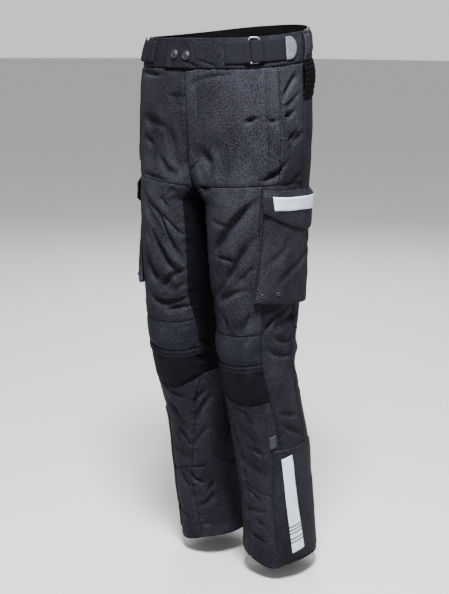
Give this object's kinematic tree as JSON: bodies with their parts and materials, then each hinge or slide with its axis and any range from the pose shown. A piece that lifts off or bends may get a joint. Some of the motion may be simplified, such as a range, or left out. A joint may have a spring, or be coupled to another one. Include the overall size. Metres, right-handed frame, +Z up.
{
  "type": "motorcycle trousers",
  "caption": "Black textile motorcycle trousers, filled out as worn, with pre-bent knees, cargo pockets, waist straps, snap closure and reflective lower-leg stripes.",
  "frame": {"origin": "middle of the waistband, where the wearer's waist holds the trousers up", "axes": "+Z up, +X towards the wearer's left, -Y the front"},
  "size_m": [0.3654, 0.2869, 1.0843],
  "materials": {
    "cloth": "black woven polyester, matt, with a fine plain weave",
    "knee_cloth": "heavy black-grey nylon with a coarse grain",
    "stretch_cloth": "black stretch cloth, smooth and soft",
    "webbing": "black polyester webbing and hook tape",
    "reflective_film": "silver-grey reflective film on cloth",
    "grey_rubber": "grey moulded rubber, matt",
    "ring_steel": "nickel-plated steel wire frame",
    "dark_steel": "gunmetal-plated steel, slightly worn"
  },
  "bodies": {
    "root": {"front_upper_left": "cloth", "side_upper_left": "cloth", "back_upper_left": "cloth", "front_thigh_left": "cloth", "side_leg_left": "cloth", "shin_upper_left": "cloth", "shin_lower_left": "cloth", "back_calf_left": "cloth", "pocket_welt_left": "cloth", "cargo_pocket_left": "cloth", "cargo_flap_left": "cloth", "storm_flap_left": "cloth", "belt_loop_side_left": "cloth", "belt_loop_back_left": "cloth", "inner_leg_left": "stretch_cloth", "knee_upper_left": "knee_cloth", "knee_lower_left": "knee_cloth", "flap_label_left": "reflective_film", "reflective_stripe_left": "reflective_film", "strap_anchor_left": "webbing", "waist_strap_left": "webbing", "strap_end_left": "grey_rubber", "side_tab_left": "grey_rubber", "strap_ring_left": "ring_steel", "pocket_eyelet_front_left": "dark_steel", "pocket_eyelet_back_left": "dark_steel", "front_upper_right": "cloth", "side_upper_right": "cloth", "back_upper_right": "cloth", "front_thigh_right": "cloth", "side_leg_right": "cloth", "shin_upper_right": "cloth", "shin_lower_right": "cloth", "back_calf_right": "cloth", "pocket_welt_right": "cloth", "cargo_pocket_right": "cloth", "cargo_flap_right": "cloth", "storm_flap_right": "cloth", "belt_loop_side_right": "cloth", "belt_loop_back_right": "cloth", "inner_leg_right": "stretch_cloth", "knee_upper_right": "knee_cloth", "knee_lower_right": "knee_cloth", "flap_label_right": "reflective_film", "reflective_stripe_right": "reflective_film", "strap_anchor_right": "webbing", "waist_strap_right": "webbing", "strap_end_right": "grey_rubber", "side_tab_right": "grey_rubber", "strap_ring_right": "ring_steel", "pocket_eyelet_front_right": "dark_steel", "pocket_eyelet_back_right": "dark_steel", "back_yoke": "stretch_cloth", "fly_placket": "cloth", "waistband_front_left": "cloth", "waistband_front_right": "cloth", "waistband_back": "cloth", "snap_outer": "dark_steel", "snap_inner": "dark_steel"}
  },
  "joints": []
}
